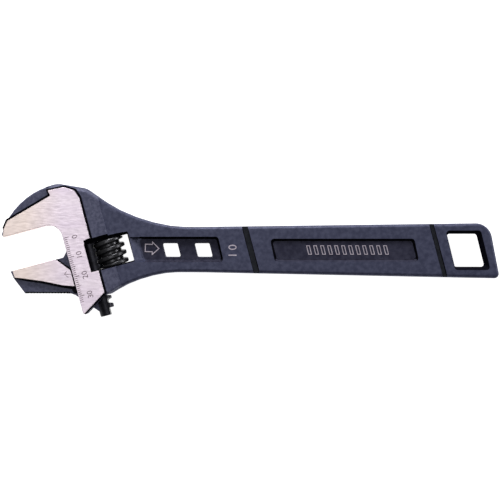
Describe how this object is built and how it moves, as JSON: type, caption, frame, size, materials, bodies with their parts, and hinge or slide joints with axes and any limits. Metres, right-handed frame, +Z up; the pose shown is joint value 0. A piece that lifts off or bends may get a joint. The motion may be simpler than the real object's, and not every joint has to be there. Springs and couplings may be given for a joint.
{
  "type": "adjustable wrench",
  "caption": "Adjustable wrench with a worm-driven moving jaw, an offset head, a toothed pipe-grip edge and a hanging hole.",
  "frame": {"origin": "middle of the wrench's outline, on the plane of the head's lower ground face, which it lies on", "axes": "+X along the handle towards the hanging hole, +Y towards the fixed jaw's side, +Z up out of the face it lies on"},
  "size_m": [0.2489, 0.0667, 0.0155],
  "materials": {
    "black_forging": "black phosphate over forged steel, with ground bright steel on the head's faces",
    "ground_steel": "ground bright steel cheeks, black phosphate elsewhere",
    "blackened_steel": "oiled black oxide",
    "pin_steel": "oiled black oxide, worn at the slot",
    "spring_steel": "drawn spring wire"
  },
  "bodies": {
    "body": {"wrench_body": "black_forging", "worm_pin": "pin_steel", "worm_spring": "spring_steel"},
    "jaw": {"moving_jaw": "ground_steel"},
    "worm": {"worm": "blackened_steel"}
  },
  "joints": [
    {"name": "jaw_slide", "type": "slide", "parent": "body", "child": "jaw", "axis": [0.2588, -0.9659, 0], "range_m": [-0.0172, 0.0155]},
    {"name": "worm_spin", "type": "hinge", "parent": "body", "child": "worm", "pos_m": [-0.06973, -0.00116, 0.00775], "axis": [-0.2588, 0.9659, 0], "range_deg": [-1550, 1400]}
  ],
  "couplings": [
    {"joint": "worm_spin", "follows": "jaw_slide", "rad_per_m": 1570.8}
  ]
}
